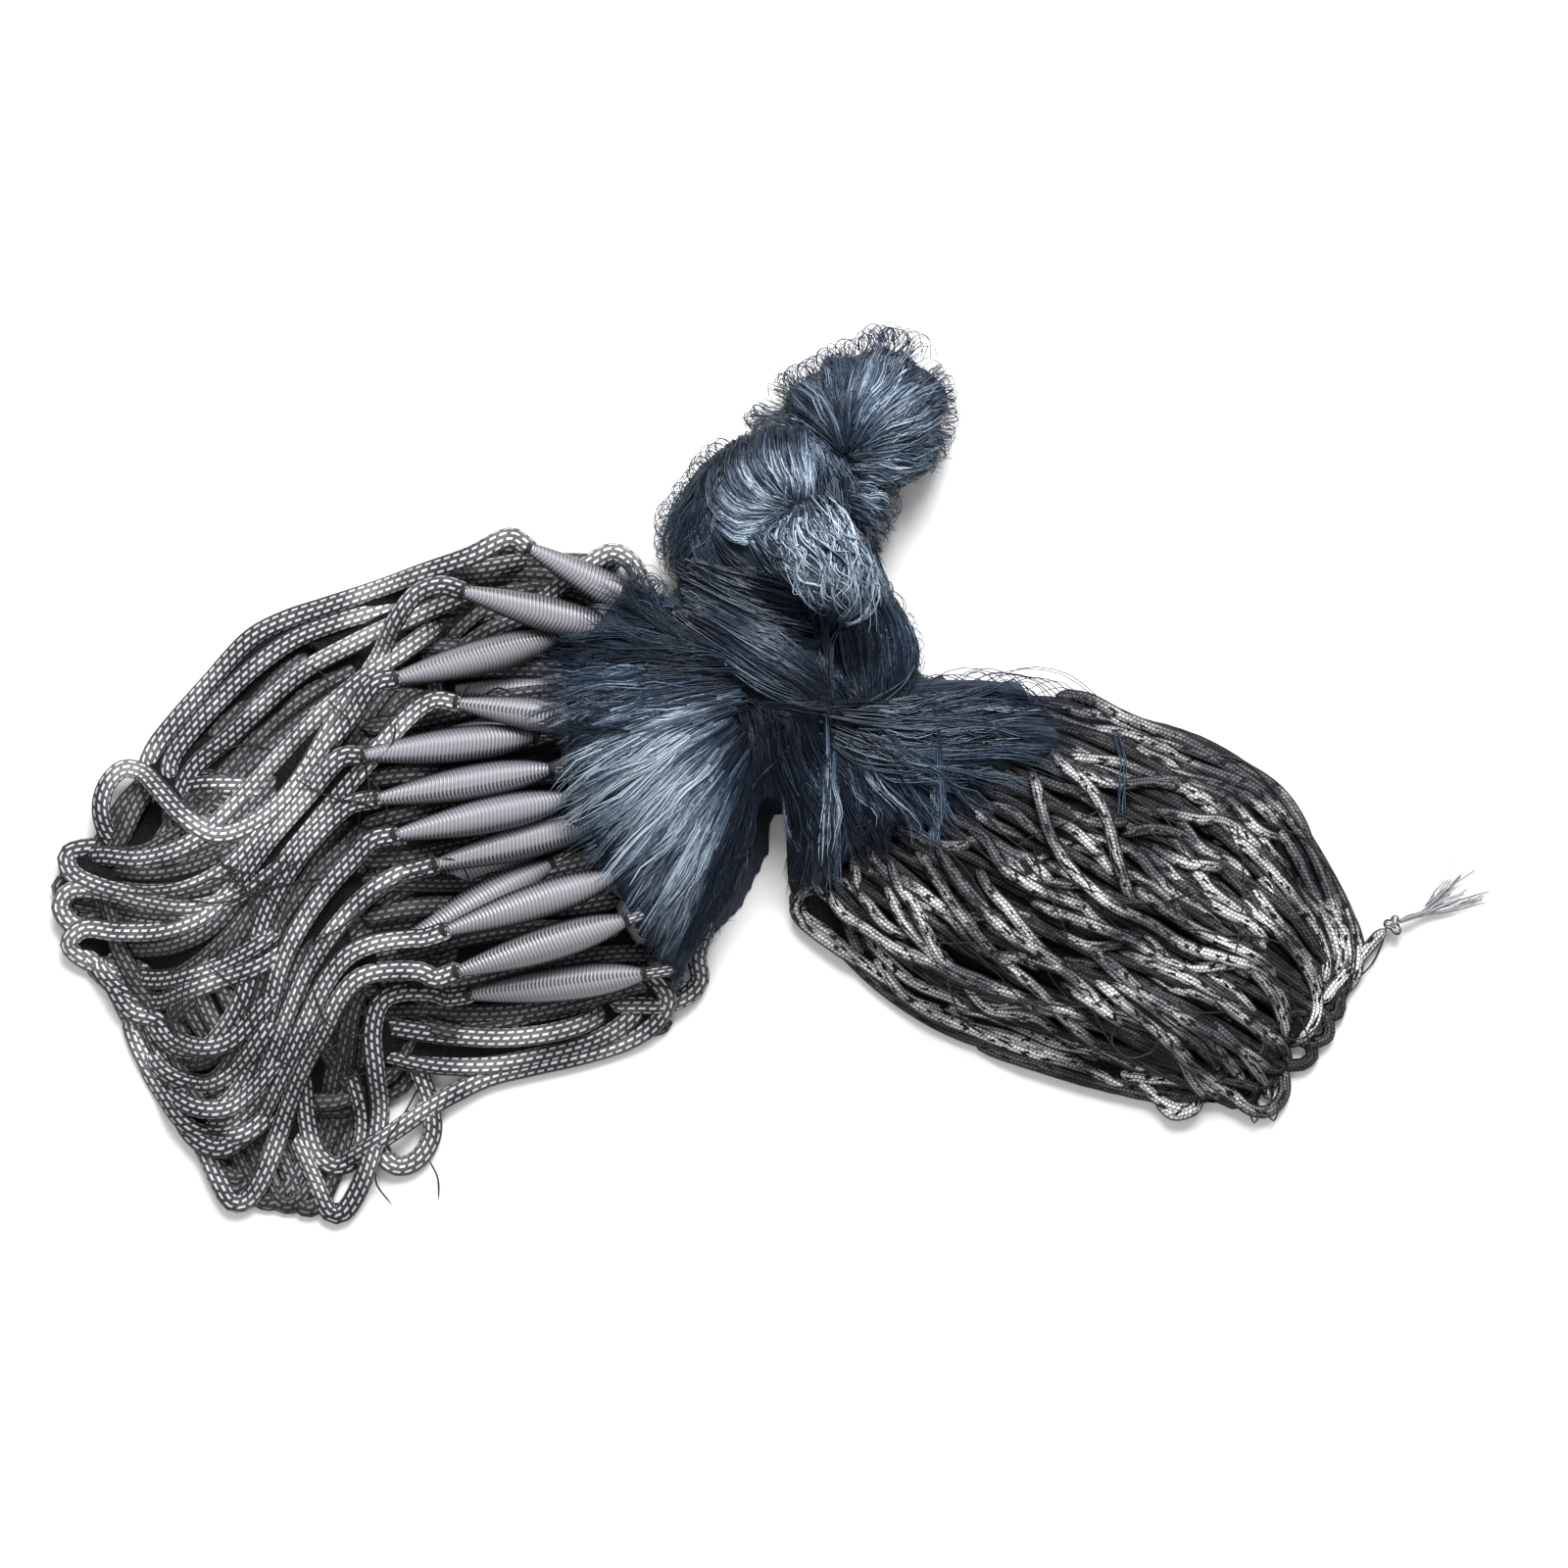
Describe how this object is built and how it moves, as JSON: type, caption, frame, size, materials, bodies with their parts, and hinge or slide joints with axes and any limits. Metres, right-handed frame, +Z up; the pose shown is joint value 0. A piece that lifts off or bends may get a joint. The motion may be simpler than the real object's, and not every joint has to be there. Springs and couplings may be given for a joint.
{
  "type": "gill net",
  "caption": "Gill net gathered up for storage: float line folded beside its floats, netting twisted into a knotted skein, lead line in a hank with a frayed end.",
  "frame": {"origin": "on the resting surface, under the middle of the bundle without its loose end", "axes": "+X along the bundle, from the float line's bights to the lead line's hank; +Y towards the knotted end of the skein; +Z up"},
  "size_m": [0.5334, 0.3245, 0.0608],
  "materials": {
    "float_line_braid": "flat braid, matte, dark grey with light picks",
    "float_cover": "tight braided sleeve over foam, satin grey",
    "lashing_twine": "black seizing twine, matte",
    "netting_yarn": "fine blue-black netting yarn, slight sheen",
    "lead_line_braid": "round braid, matte, pale grey with dark flecks"
  },
  "bodies": {
    "root": {"float_line": "float_line_braid", "float_01": "float_cover", "float_02": "float_cover", "float_03": "float_cover", "float_04": "float_cover", "float_05": "float_cover", "float_06": "float_cover", "float_07": "float_cover", "float_08": "float_cover", "float_09": "float_cover", "float_10": "float_cover", "float_11": "float_cover", "float_12": "float_cover", "float_13": "float_cover", "float_14": "float_cover", "float_15": "float_cover", "lashing_01": "lashing_twine", "lashing_02": "lashing_twine", "lashing_03": "lashing_twine", "lashing_05": "lashing_twine", "lashing_07": "lashing_twine", "lashing_08": "lashing_twine", "lashing_09": "lashing_twine", "lashing_10": "lashing_twine", "lashing_13": "lashing_twine", "lashing_14": "lashing_twine", "lashing_15": "lashing_twine", "netting": "netting_yarn", "lead_line": "lead_line_braid", "lead_line_tail": "lead_line_braid", "tail_knot": "lead_line_braid", "tail_fray": "lead_line_braid"}
  },
  "joints": []
}
